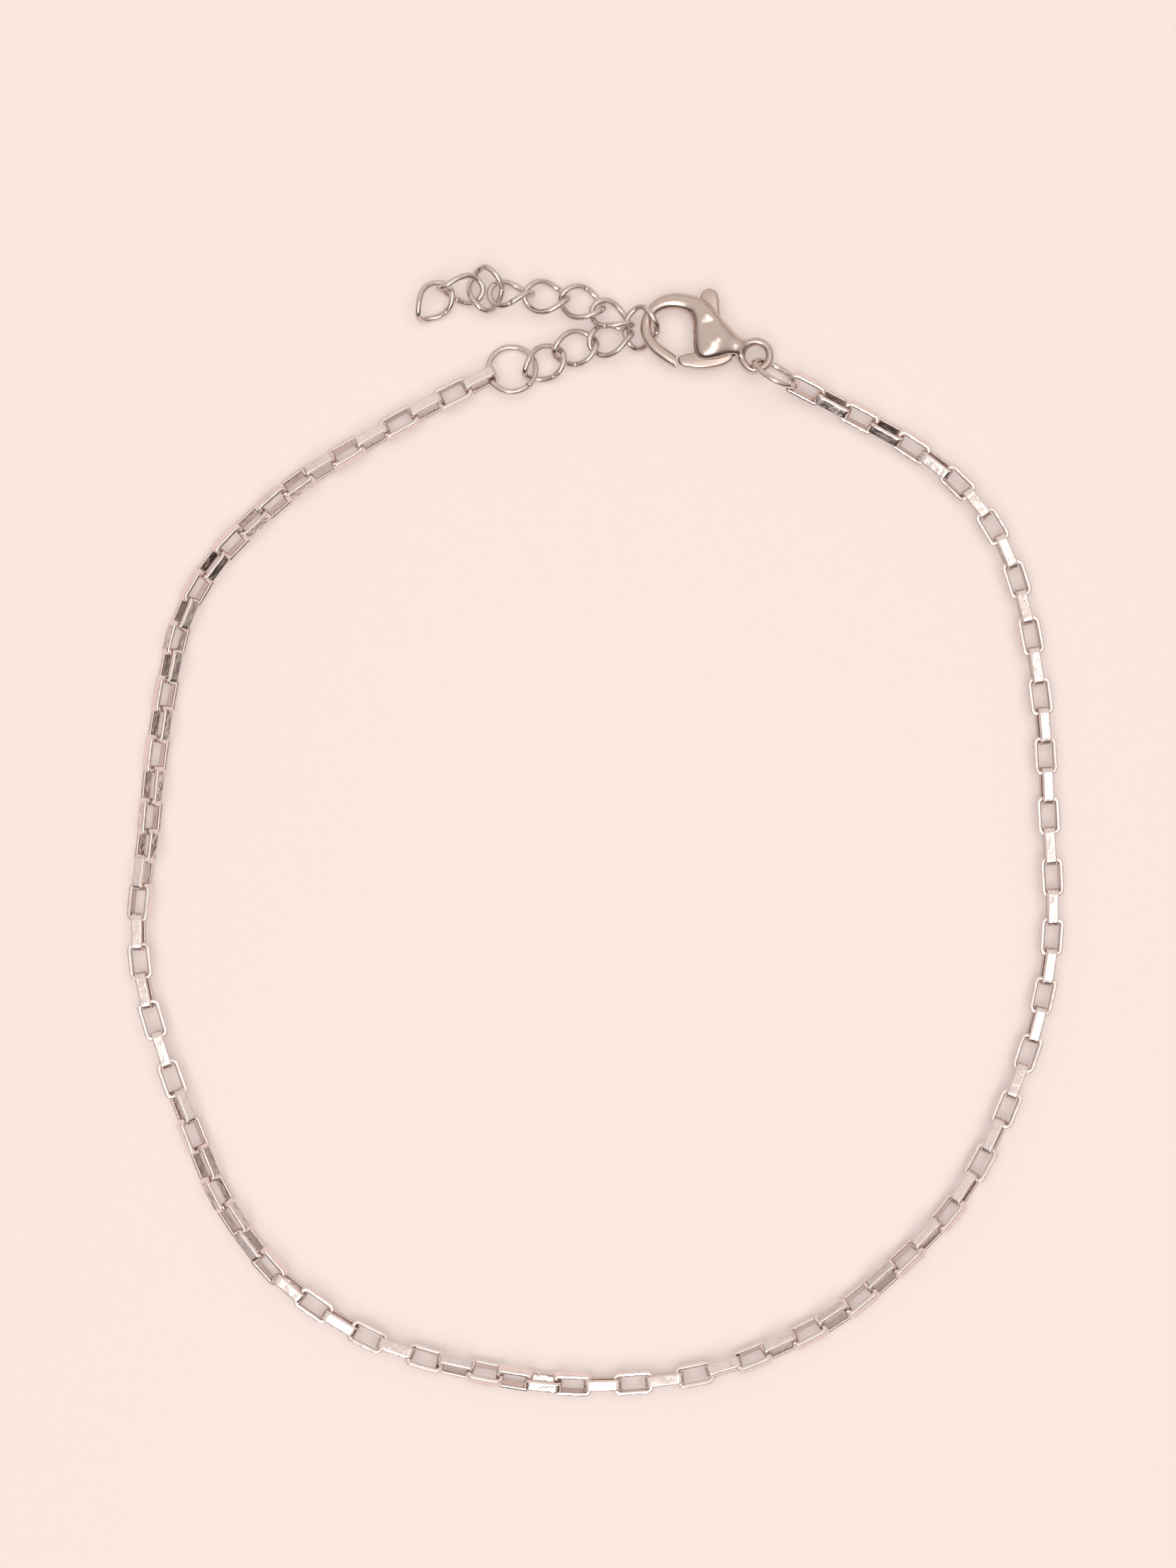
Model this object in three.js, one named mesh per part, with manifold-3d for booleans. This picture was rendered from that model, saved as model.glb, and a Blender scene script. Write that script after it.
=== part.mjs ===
// Chain anklet laid out in an open loop on a table, in millimetres.
// The box chain runs from the extender ring down the left side, along the front and up to the clasp ring.
import * as THREE from "three";
import { mergeVertices } from "three/addons/utils/BufferGeometryUtils.js";
import Module from "manifold-3d";

const wasm = await Module();
wasm.setup();

// Box chain: each link is a strip bent into a rounded rectangle, a quarter turn on from the last
const LINK_WIDTH = 1.8;
const STRIP_THICK = 0.35;
const STRIP_WIDTH = 0.85;
const LINK_CORNER = 0.52;
const LINK_BITE = 0.04;
const MEET_GAP = 0.05;
const LINK_COUNT = 94;
const LEFT_COUNT = 47;
const END_LIFT = 0.75;
const LIFTED_LINKS = 2;

// Lie of the chain: links passed so far, place of the joint on the table, roll about the chain's line.
// The steep clasp ring holds the last links a little off the table.
const LIE_COLUMNS = ["links", "x", "y", "roll"];
const LIE = [
  [0, -8.1, 35.4, 12],
  [2.5, -13.3, 32.8, 15],
  [5.5, -19.5, 29.3, 25],
  [7.5, -23.4, 26.9, 38],
  [9.5, -26.9, 23.9, 45],
  [11.5, -30.0, 20.6, 46],
  [13.5, -32.2, 16.8, 47],
  [15.5, -33.3, 12.6, 45],
  [18.5, -34.4, 5.8, 45],
  [21.5, -35.1, -1.2, 42],
  [22.5, -35.4, -3.5, 25],
  [24.5, -35.8, -8.1, 3],
  [26.5, -35.3, -12.7, 0],
  [29.5, -33.2, -19.5, -15],
  [31.5, -31.5, -23.9, -42],
  [33.5, -29.6, -28.4, -48],
  [35.5, -27.0, -32.4, -60],
  [37.5, -23.9, -35.8, -80],
  [40.5, -18.0, -39.7, -97],
  [42.5, -13.4, -41.4, -116],
  [44.5, -8.7, -42.5, -136],
  [46.5, -4.2, -43.2, -157],
  [48.5, 0.5, -43.4, -177],
  [51.5, 7.6, -42.7, -192],
  [53.5, 12.2, -41.3, -216],
  [56.5, 18.5, -38.2, -225],
  [58.5, 22.4, -35.1, -226],
  [61.5, 27.4, -30.1, -215],
  [63.5, 30.0, -26.1, -202],
  [65.5, 32.0, -21.8, -190],
  [68.5, 34.3, -15.3, -182],
  [71.5, 35.5, -8.4, -180],
  [75.5, 35.2, 1.0, -180],
  [79.5, 34.6, 10.3, -180],
  [83.5, 32.8, 19.3, -180],
  [85.5, 30.9, 23.6, -184],
  [87.5, 28.2, 27.0, -200],
  [89.5, 24.6, 29.8, -212],
  [91.5, 20.5, 32.1, -215],
  [94, 15.2, 34.8, -215],
];

// Extender: eleven twisted oval wire links that start from a round ring
const WIRE_RADIUS = 0.235;
const OVAL_HALF_LENGTH = 1.7;
const OVAL_HALF_WIDTH = 1.27;
const OVAL_TWIST = -46;
const RING_RADIUS = 1.85;
const RING_POSE = { x: -6.64, y: 35.84, z: 0.69, heading: 0, roll: -14, pitch: 0 };
const OVAL_COLUMNS = ["x", "y", "z", "heading", "roll", "pitch"];
const OVALS = [
  [-4.14, 36.24, 1.01, 31, 20, 1],
  [-1.68, 37.47, 1.01, 15.5, 7, 0],
  [1.09, 38.15, 1.09, 15.5, -23, 3],
  [3.44, 38.98, 1.18, 83, -2, 24],
  [1.21, 39.89, 1.19, 156, 41, -4],
  [-1.14, 40.99, 0.95, 165, 16, 1],
  [-3.94, 41.44, 1.03, 177, 20, 2],
  [-6.69, 41.64, 1.24, 179, 46, -5],
  [-8.69, 42.04, 1.11, 95, 0, 4],
  [-10.59, 41.99, 1.31, 179, -51, 2],
  [-12.74, 41.04, 1.07, 229, -26, 0],
];

// Clasp: sizes from the middle of its eye, lying flat with its hook to the left
const CLASP_AT = { x: 12.37, y: 36.81, z: 1.32 };
const EYE_RADIUS = 1.1;
const EYE_WIRE = 0.31;
const EYE_STRETCH = 1.4;
const BODY_HALF = 0.95;
const BODY_EDGE = 0.32;
const DOME = { x: -3.33, y: 1.67, wide: 1.3, deep: 1.2, half: 1.29 };
const PIVOT = { x: -2.78, y: 0.67, radius: 0.42, clearance: 0.1 };
const SLOT_HALF = 0.52;
const LEVER_HALF = 0.42;

// Hook from its tip round to its root: middle of the wire, half width in plan, half height
const HOOK_COLUMNS = ["x", "y", "half", "tall"];
const HOOK = [
  [-6.38, -0.46, 0.36, 0.42],
  [-7.11, -0.05, 0.4, 0.44],
  [-8.0, 0.61, 0.43, 0.45],
  [-8.5, 1.39, 0.43, 0.45],
  [-8.58, 2.22, 0.43, 0.45],
  [-8.36, 3.06, 0.43, 0.46],
  [-7.86, 3.78, 0.43, 0.5],
  [-7.11, 4.31, 0.44, 0.55],
  [-6.17, 4.53, 0.45, 0.62],
  [-5.28, 4.39, 0.5, 0.7],
  [-4.56, 3.94, 0.62, 0.78],
  [-4.1, 3.3, 0.7, 0.8],
];

// Outlines in plan: the body, the lever with its thumb tab and gate, and the slot the lever swings in
const POINT_COLUMNS = ["x", "y"];
const BODY_OUTLINE = [
  [-4.5, 4.5],
  [-3.0, 3.44],
  [-2.0, 2.17],
  [-1.44, 1.56],
  [-0.75, 1.15],
  [-1.05, 0.0],
  [-2.0, -0.1],
  [-2.56, -0.22],
  [-3.67, -0.5],
  [-4.5, -0.33],
  [-4.89, 0.39],
  [-4.94, 1.78],
  [-4.94, 3.44],
  [-5.0, 4.2],
];
const LEVER_OUTLINE = [
  [-6.02, -0.12],
  [-6.02, -0.78],
  [-5.22, -0.94],
  [-4.22, -1.06],
  [-3.11, -0.92],
  [-2.28, -0.67],
  [-1.83, -0.28],
  [-1.78, 0.67],
  [-2.33, 1.78],
  [-2.78, 3.17],
  [-2.89, 4.5],
  [-3.1, 5.01],
  [-3.61, 5.22],
  [-4.12, 5.01],
  [-4.33, 4.5],
  [-4.22, 3.44],
  [-3.67, 1.78],
  [-3.94, 0.78],
  [-4.5, 0.33],
  [-5.06, 0.18],
];
const SLOT_OUTLINE = [
  [-4.56, 5.67],
  [-1.17, 5.67],
  [-1.56, 2.06],
  [-1.6, -0.28],
  [-1.44, -1.56],
  [-5.6, -1.56],
  [-5.6, 1.6],
  [-5.22, 1.67],
  [-4.22, 2.22],
  [-4.56, 3.44],
];

// Clasp ring: the same round ring, standing steeply through the clasp's eye and the last link
const CLASP_RING_POSE = { x: 13.87, y: 35.36, z: 1.93, heading: -29, roll: 114, pitch: 0 };

// Shift of the whole anklet that puts the bottom centre of its box at zero
const SETTLE = { x: 0.14, y: 0.205, z: 0.022 };

// Finish of the pieces
const STRIP_STEEL = { color: 0xcdc3bc, roughness: 0.34, metalness: 1 };
const WIRE_STEEL = { color: 0xd4cac2, roughness: 0.22, metalness: 1 };
const CAST_STEEL = { color: 0xd9cfc7, roughness: 0.18, metalness: 1 };

const anklet = new THREE.Group();
anklet.name = "anklet";

const UP = new THREE.Vector3(0, 0, 1);

function rows(columns, table) {
  return table.map((row) => Object.fromEntries(columns.map((name, i) => [name, row[i]])));
}

function addPiece(name, geometry, finish) {
  const mesh = new THREE.Mesh(geometry, new THREE.MeshStandardMaterial(finish));
  mesh.name = name;
  anklet.add(mesh);
  return mesh;
}

function closed(geometry) {
  geometry.deleteAttribute("normal");
  geometry.deleteAttribute("uv");
  return mergeVertices(geometry, 1e-4);
}

function solidOf(geometry) {
  const merged = closed(geometry);
  const mesh = new wasm.Mesh({
    numProp: 3,
    vertProperties: new Float32Array(merged.attributes.position.array),
    triVerts: new Uint32Array(merged.index.array),
  });
  return new wasm.Manifold(mesh);
}

function geometryOf(solid) {
  const mesh = solid.getMesh();
  const geometry = new THREE.BufferGeometry();
  geometry.setAttribute("position", new THREE.BufferAttribute(mesh.vertProperties, 3));
  geometry.setIndex(new THREE.BufferAttribute(mesh.triVerts, 1));
  geometry.computeVertexNormals();
  return geometry;
}

function poseOf({ x, y, z, heading, roll, pitch }) {
  const turn = new THREE.Matrix4().makeRotationZ(THREE.MathUtils.degToRad(heading));
  turn.multiply(new THREE.Matrix4().makeRotationY(-THREE.MathUtils.degToRad(pitch)));
  turn.multiply(new THREE.Matrix4().makeRotationX(THREE.MathUtils.degToRad(roll)));
  return turn.setPosition(x, y, z);
}

function roundedRectangle(length, width, corner) {
  const path = new THREE.Shape();
  const a = length / 2 - corner;
  const b = width / 2 - corner;
  path.absarc(a, b, corner, 0, Math.PI / 2);
  path.absarc(-a, b, corner, Math.PI / 2, Math.PI);
  path.absarc(-a, -b, corner, Math.PI, 1.5 * Math.PI);
  path.absarc(a, -b, corner, 1.5 * Math.PI, 2 * Math.PI);
  path.closePath();
  return path;
}

function stripLink(length) {
  const shape = roundedRectangle(length, LINK_WIDTH, LINK_CORNER);
  const a = length / 2 - STRIP_THICK;
  const b = LINK_WIDTH / 2 - STRIP_THICK;
  const hole = new THREE.Path().moveTo(a, b).lineTo(-a, b).lineTo(-a, -b).lineTo(a, -b);
  shape.holes.push(hole);
  const strip = new THREE.ExtrudeGeometry(shape, {
    depth: STRIP_WIDTH,
    bevelEnabled: false,
    curveSegments: 2,
  });
  return strip.translate(0, 0, -STRIP_WIDTH / 2);
}

const lie = rows(LIE_COLUMNS, LIE);
const liePath = new THREE.CatmullRomCurve3(lie.map((s) => new THREE.Vector3(s.x, s.y, 0)));

// Half the height of a link's square section when it is rolled, so that it just rests on the table
function restHeight(roll) {
  const c = Math.abs(Math.cos(roll));
  const s = Math.abs(Math.sin(roll));
  const wide = LINK_WIDTH / 2;
  const thin = STRIP_WIDTH / 2;
  return Math.max(wide * c + thin * s, wide * s + thin * c);
}

function jointAt(links) {
  const next = Math.max(1, lie.findIndex((s) => s.links >= links));
  const from = lie[next - 1];
  const to = lie[next];
  const share = (links - from.links) / (to.links - from.links);
  const point = liePath.getPoint((next - 1 + share) / (lie.length - 1));
  const roll = THREE.MathUtils.degToRad(THREE.MathUtils.lerp(from.roll, to.roll, share));
  const lifted = Math.max(0, links - LINK_COUNT + LIFTED_LINKS) / LIFTED_LINKS;
  point.z = restHeight(roll) + END_LIFT * lifted;
  return { point, roll };
}

function chainLink(index) {
  const start = jointAt(index - 1);
  const end = jointAt(index);
  const forward = end.point.clone().sub(start.point).normalize();
  const startBite = index - 1 === LEFT_COUNT ? -MEET_GAP : LINK_BITE;
  const endBite = index === LEFT_COUNT ? -MEET_GAP : LINK_BITE;
  const tail = start.point.clone().addScaledVector(forward, startBite / 2 - STRIP_THICK);
  const nose = end.point.clone().addScaledVector(forward, STRIP_THICK - endBite / 2);
  const quarter = index % 2 ? Math.PI / 2 : 0;
  const turn = (start.roll + end.roll) / 2 + quarter;
  const side = UP.clone().cross(forward).normalize();
  const lift = forward.clone().cross(side);
  const across = side.multiplyScalar(Math.cos(turn)).addScaledVector(lift, Math.sin(turn));
  const through = forward.clone().cross(across);
  const place = new THREE.Matrix4().makeBasis(forward, across, through);
  place.setPosition(tail.clone().add(nose).multiplyScalar(0.5));
  return stripLink(tail.distanceTo(nose)).applyMatrix4(place);
}

function chainRun(first, last) {
  let run = solidOf(chainLink(first));
  for (let index = first + 1; index <= last; index++) run = run.add(solidOf(chainLink(index)));
  return geometryOf(run);
}

addPiece("box_chain_left", chainRun(1, LEFT_COUNT), STRIP_STEEL);
addPiece("box_chain_right", chainRun(LEFT_COUNT + 1, LINK_COUNT), STRIP_STEEL);

// Centre line of an extender link: an oval whose two ends are turned against each other
class TwistedOval extends THREE.Curve {
  getPoint(t, target = new THREE.Vector3()) {
    const angle = 2 * Math.PI * t;
    const width = OVAL_HALF_WIDTH * Math.sin(angle);
    const twist = THREE.MathUtils.degToRad(OVAL_TWIST) * Math.cos(angle);
    const x = OVAL_HALF_LENGTH * Math.cos(angle);
    return target.set(x, width * Math.cos(twist), width * Math.sin(twist));
  }
}

function roundRing(pose) {
  const ring = closed(new THREE.TorusGeometry(RING_RADIUS, WIRE_RADIUS, 6, 14));
  return ring.applyMatrix4(poseOf(pose));
}

addPiece("extender_ring", roundRing(RING_POSE), WIRE_STEEL);
addPiece("clasp_ring", roundRing(CLASP_RING_POSE), WIRE_STEEL);

rows(OVAL_COLUMNS, OVALS).forEach((pose, i) => {
  const oval = closed(new THREE.TubeGeometry(new TwistedOval(), 14, WIRE_RADIUS, 6, true));
  const number = String(i + 1).padStart(2, "0");
  addPiece(`extender_link_${number}`, oval.applyMatrix4(poseOf(pose)), WIRE_STEEL);
});

function outlineShape(table) {
  return new THREE.Shape(rows(POINT_COLUMNS, table).map((p) => new THREE.Vector2(p.x, p.y)));
}

function roundedShape(table) {
  const points = rows(POINT_COLUMNS, table).map((p) => new THREE.Vector3(p.x, p.y, 0));
  const curve = new THREE.CatmullRomCurve3(points, true);
  return new THREE.Shape(curve.getPoints(2 * table.length).slice(0, -1).map((p) => new THREE.Vector2(p.x, p.y)));
}

function slab(shape, half) {
  const plate = new THREE.ExtrudeGeometry(shape, { depth: 2 * half, bevelEnabled: false, curveSegments: 8 });
  return plate.translate(0, 0, -half);
}

// Rings of points joined one to the next and closed at both ends
function loft(rings) {
  const sides = rings[0].length;
  const points = rings.flat();
  const tail = points.push(new THREE.Vector3().addVectors(rings[0][0], rings[0][sides / 2]).multiplyScalar(0.5)) - 1;
  const lastRing = rings[rings.length - 1];
  const nose = points.push(new THREE.Vector3().addVectors(lastRing[0], lastRing[sides / 2]).multiplyScalar(0.5)) - 1;
  const faces = [];
  for (let i = 0; i < sides; i++) {
    const j = (i + 1) % sides;
    faces.push(tail, j, i);
    for (let k = 0; k + 1 < rings.length; k++) {
      const here = k * sides;
      const next = here + sides;
      faces.push(here + i, here + j, next + i, here + j, next + j, next + i);
    }
    const end = (rings.length - 1) * sides;
    faces.push(nose, end + i, end + j);
  }
  const geometry = new THREE.BufferGeometry().setFromPoints(points);
  geometry.setIndex(faces);
  return geometry;
}

function hookSolid() {
  const stations = rows(HOOK_COLUMNS, HOOK);
  const path = new THREE.CatmullRomCurve3(stations.map((s) => new THREE.Vector3(s.x, s.y, 0)));
  const sides = 10;
  const rings = stations.map((s, k) => {
    const along = path.getTangent(k / (stations.length - 1));
    const across = UP.clone().cross(along);
    return Array.from({ length: sides }, (_, i) => {
      const angle = (2 * Math.PI * i) / sides;
      const point = new THREE.Vector3(s.x, s.y, s.tall * Math.sin(angle));
      return point.addScaledVector(across, s.half * Math.cos(angle));
    });
  });
  return solidOf(loft(rings));
}

function claspBody() {
  const plate = new THREE.ExtrudeGeometry(roundedShape(BODY_OUTLINE), {
    depth: 2 * (BODY_HALF - BODY_EDGE),
    bevelThickness: BODY_EDGE,
    bevelSize: BODY_EDGE,
    bevelOffset: -BODY_EDGE,
    bevelSegments: 2,
  });
  plate.translate(0, 0, BODY_EDGE - BODY_HALF);
  const dome = new THREE.SphereGeometry(1, 16, 10).rotateX(Math.PI / 2);
  dome.scale(DOME.wide, DOME.deep, DOME.half).translate(DOME.x, DOME.y, 0);
  const eye = new THREE.TorusGeometry(EYE_RADIUS, EYE_WIRE, 8, 20).scale(1, 1, EYE_STRETCH);
  const post = new THREE.CylinderGeometry(PIVOT.radius, PIVOT.radius, 2 * SLOT_HALF + 0.4, 16);
  post.rotateX(Math.PI / 2).translate(PIVOT.x, PIVOT.y, 0);
  const slot = solidOf(slab(outlineShape(SLOT_OUTLINE), SLOT_HALF));
  const shell = solidOf(plate).add(solidOf(dome)).add(hookSolid()).subtract(slot);
  return shell.add(solidOf(eye)).add(solidOf(post));
}

function claspLever() {
  const shape = roundedShape(LEVER_OUTLINE);
  const hole = new THREE.Path();
  hole.absarc(PIVOT.x, PIVOT.y, PIVOT.radius + PIVOT.clearance, 0, 2 * Math.PI, true);
  shape.holes.push(hole);
  return solidOf(slab(shape, LEVER_HALF));
}

const body = addPiece("clasp_body", geometryOf(claspBody()), CAST_STEEL);
const lever = addPiece("clasp_lever", geometryOf(claspLever()), CAST_STEEL);
for (const piece of [body, lever]) piece.position.set(CLASP_AT.x, CLASP_AT.y, CLASP_AT.z);

for (const piece of anklet.children) piece.position.add(new THREE.Vector3(SETTLE.x, SETTLE.y, SETTLE.z));

export default anklet;
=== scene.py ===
# %% [markdown]
# # A chain anklet on a pale table
# The imported solids are the fixed frame: they say where every link lies and how the clasp's lever turns.
# This lesson dresses them: rounded strip links, drawn wire with its seams, a smooth cast clasp, and
# steel finishes. First the frame is loaded.

# %% Load the frame
import math

import bmesh
import bpy
import numpy as np
import openvdb
from mathutils import Matrix, Vector


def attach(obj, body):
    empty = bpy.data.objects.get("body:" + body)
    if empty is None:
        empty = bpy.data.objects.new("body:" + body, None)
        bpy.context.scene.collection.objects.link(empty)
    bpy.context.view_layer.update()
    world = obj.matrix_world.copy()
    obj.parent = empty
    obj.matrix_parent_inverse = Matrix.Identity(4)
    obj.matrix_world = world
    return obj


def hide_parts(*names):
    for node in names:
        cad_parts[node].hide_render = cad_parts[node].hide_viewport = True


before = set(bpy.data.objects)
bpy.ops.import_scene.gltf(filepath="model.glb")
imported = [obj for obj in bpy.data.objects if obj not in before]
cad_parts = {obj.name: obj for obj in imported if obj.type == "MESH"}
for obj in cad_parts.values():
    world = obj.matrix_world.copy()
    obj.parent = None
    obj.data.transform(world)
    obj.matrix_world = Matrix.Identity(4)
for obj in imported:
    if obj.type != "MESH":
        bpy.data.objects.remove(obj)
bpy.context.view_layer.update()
MM = 0.001
print("nodes in the frame:", len(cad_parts))

# %% [markdown]
# ## How the chain lies
# The chain was laid down by hand, so its line and its roll change slowly along the loop. A short table
# gives the links passed so far, the place on the table and the roll. A smooth curve through the rows
# gives each joint. Writing every link by hand would also work, but a curve keeps the spacing even and is
# easy to change.

# %% Lie of the chain
LINK_COUNT = 94
LEFT_COUNT = 47
# Brings the middle of the whole loop to the origin, with its lowest point on the table.
SETTLE = Vector((0.14, 0.205, 0.022))
LINK_WIDTH = 1.8
STRIP_THICK = 0.35
STRIP_WIDTH = 0.85
LINK_CORNER = 0.52
LINK_BITE = 0.04
MEET_GAP = 0.05
END_LIFT = 0.75
LIFTED_LINKS = 2

LIE_COLUMNS = ("links", "x", "y", "roll")
LIE = [
    (0, -8.1, 35.4, 12),
    (2.5, -13.3, 32.8, 15),
    (5.5, -19.5, 29.3, 25),
    (7.5, -23.4, 26.9, 38),
    (9.5, -26.9, 23.9, 45),
    (11.5, -30.0, 20.6, 46),
    (13.5, -32.2, 16.8, 47),
    (15.5, -33.3, 12.6, 45),
    (18.5, -34.4, 5.8, 45),
    (21.5, -35.1, -1.2, 42),
    (22.5, -35.4, -3.5, 25),
    (24.5, -35.8, -8.1, 3),
    (26.5, -35.3, -12.7, 0),
    (29.5, -33.2, -19.5, -15),
    (31.5, -31.5, -23.9, -42),
    (33.5, -29.6, -28.4, -48),
    (35.5, -27.0, -32.4, -60),
    (37.5, -23.9, -35.8, -80),
    (40.5, -18.0, -39.7, -97),
    (42.5, -13.4, -41.4, -116),
    (44.5, -8.7, -42.5, -136),
    (46.5, -4.2, -43.2, -157),
    (48.5, 0.5, -43.4, -177),
    (51.5, 7.6, -42.7, -192),
    (53.5, 12.2, -41.3, -216),
    (56.5, 18.5, -38.2, -225),
    (58.5, 22.4, -35.1, -226),
    (61.5, 27.4, -30.1, -215),
    (63.5, 30.0, -26.1, -202),
    (65.5, 32.0, -21.8, -190),
    (68.5, 34.3, -15.3, -182),
    (71.5, 35.5, -8.4, -180),
    (75.5, 35.2, 1.0, -180),
    (79.5, 34.6, 10.3, -180),
    (83.5, 32.8, 19.3, -180),
    (85.5, 30.9, 23.6, -184),
    (87.5, 28.2, 27.0, -200),
    (89.5, 24.6, 29.8, -212),
    (91.5, 20.5, 32.1, -215),
    (94, 15.2, 34.8, -215),
]


def named_rows(columns, table):
    """The rows of a table, with each value under the name of its column."""
    return [dict(zip(columns, row)) for row in table]


lie = named_rows(LIE_COLUMNS, LIE)
print("rows in the lie:", len(lie))

# %% Smooth curve through a row of points
UP = Vector((0, 0, 1))


def smooth_point(points, span, share, closed=False):
    """A point of the centripetal curve through the points, a share of the way along one span."""
    count = len(points)
    if closed:
        p0, p1, p2, p3 = (points[(span + k) % count] for k in (-1, 0, 1, 2))
    else:
        p1, p2 = points[span], points[span + 1]
        p0 = points[span - 1] if span > 0 else 2 * p1 - p2
        p3 = points[span + 2] if span + 2 < count else 2 * p2 - p1
    d0, d1, d2 = (math.sqrt((b - a).length) for a, b in ((p0, p1), (p1, p2), (p2, p3)))
    start = ((p1 - p0) / d0 - (p2 - p0) / (d0 + d1) + (p2 - p1) / d1) * d1
    end = ((p2 - p1) / d1 - (p3 - p1) / (d1 + d2) + (p3 - p2) / d2) * d1
    rise = 2 * (p1 - p2) + start + end
    bend = 3 * (p2 - p1) - 2 * start - end
    return p1 + share * (start + share * (bend + share * rise))


def rest_height(roll):
    """Half the height of a rolled link's section, so that it just rests on the table."""
    c, s = abs(math.cos(roll)), abs(math.sin(roll))
    wide, thin = LINK_WIDTH / 2, STRIP_WIDTH / 2
    return max(wide * c + thin * s, wide * s + thin * c)


lie_points = [Vector((row["x"], row["y"], 0)) for row in lie]


def joint_at(links):
    """Where the chain is after so many links, and its roll there."""
    after = next(k for k, row in enumerate(lie) if row["links"] >= links)
    after = max(1, after)
    before, beyond = lie[after - 1], lie[after]
    share = (links - before["links"]) / (beyond["links"] - before["links"])
    point = smooth_point(lie_points, after - 1, share)
    roll = math.radians(before["roll"] + share * (beyond["roll"] - before["roll"]))
    lifted = max(0, links - LINK_COUNT + LIFTED_LINKS) / LIFTED_LINKS
    point.z = rest_height(roll) + END_LIFT * lifted
    return point, roll


joints = [joint_at(links) for links in range(LINK_COUNT + 1)]
chain_length = sum((b[0] - a[0]).length for a, b in zip(joints, joints[1:]))
print("length of the box chain: %.0f mm" % chain_length)

# %% [markdown]
# ## Meshes from sweeps
# Most of the jewel is strip or wire bent along a line. One helper takes rings of points, joins each ring
# to the next and closes the ends, or joins the last ring to the first. A curve object with a bevel could
# do the same, but rings let the strip keep its own section and let each point carry where it lies along
# the strip. A few small helpers put objects into the scene and join or cut their meshes.

# %% Object helpers
def linked_object(name, data):
    """A new object of the scene that shows this data."""
    made = bpy.data.objects.new(name, data)
    bpy.context.collection.objects.link(made)
    return made


def shown_mesh(piece):
    """A copy of the mesh that a piece shows once its modifiers are worked out."""
    shown = piece.evaluated_get(bpy.context.evaluated_depsgraph_get())
    return bpy.data.meshes.new_from_object(shown)


def combine(piece, tool, way, solver):
    """Joins a piece with a second one, or cuts it by that one, which is used up."""
    change = piece.modifiers.new("combine", "BOOLEAN")
    change.operation = way
    change.solver = solver
    change.object = tool
    mesh = shown_mesh(piece)
    piece.modifiers.clear()
    piece.data = mesh
    bpy.data.objects.remove(tool)


def mark_places(piece, places):
    """Stores for each point where it lies on its strip or wire, in millimetres."""
    layer = piece.data.attributes.new("strip_place", "FLOAT_VECTOR", "POINT")
    layer.data.foreach_set("vector", [value for place in places for value in place])


print("object helpers ready")

# %% Sweep helpers
def new_piece(name, verts, faces, material):
    """A smooth-shaded mesh object made from points in millimetres."""
    mesh = bpy.data.meshes.new(name)
    mesh.from_pydata([(Vector(v) + SETTLE) * MM for v in verts], [], faces)
    mesh.validate()
    mesh.shade_smooth()
    mesh.materials.append(material)
    return linked_object(name, mesh)


def ring_faces(rings, sides, closed, first=0):
    """Quads between rings of points, with end faces when the sweep is open."""
    faces = []
    spans = rings if closed else rings - 1
    for k in range(spans):
        here = first + k * sides
        there = first + ((k + 1) % rings) * sides
        for i in range(sides):
            j = (i + 1) % sides
            faces.append((here + i, here + j, there + j, there + i))
    if not closed:
        faces.append(tuple(first + i for i in reversed(range(sides))))
        faces.append(tuple(first + (rings - 1) * sides + i for i in range(sides)))
    return faces


def rounded_rectangle(length, width, corner, steps, hold):
    """Points and outward directions round a rectangle with round corners, counter-clockwise.

    Each corner has one more point a little way along the straight before and after it, so that the
    straights shade flat.
    """
    out = []
    centres = ((1, 1), (-1, 1), (-1, -1), (1, -1))
    for quarter, (sx, sy) in enumerate(centres):
        cx, cy = sx * (length / 2 - corner), sy * (width / 2 - corner)
        first, last = math.pi / 2 * quarter, math.pi / 2 * (quarter + 1)
        stations = [(first, hold)] + [(first + math.pi / 2 * k / steps, 0) for k in range(steps + 1)]
        for angle, back in stations + [(last, -hold)]:
            away = (math.cos(angle), math.sin(angle))
            x = cx + corner * away[0] + back * away[1]
            y = cy + corner * away[1] - back * away[0]
            out.append(((x, y), away))
    return out


print("sweep helpers ready")

# %% [markdown]
# ## Finishes in steel
# All the pieces are polished steel, but the strip of the box chain is satin and scratched along its
# length, the wire is drawn, and the clasp is a tumbled casting. Two effects are shared: fine scratches
# drawn out along one direction, and a soft uneven bloom. The bloom is used twice, to dull the polish in
# patches and as slow waves in the surface. Each is a node group, used with its own values in every
# finish, so that a change to the effect reaches all of them. Strip links also get painted shade on their
# inner faces: a darker base colour that darkens the gaps between the links.

# %% Node group for fine scratches
GRAIN_DETAIL = 3.0
SCRATCH_FROM = 0.56
SCRATCH_TO = 0.7


def socket(group, name, way, kind):
    """A socket on a node group, going in or out."""
    group.interface.new_socket(name=name, in_out=way, socket_type=kind)


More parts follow.
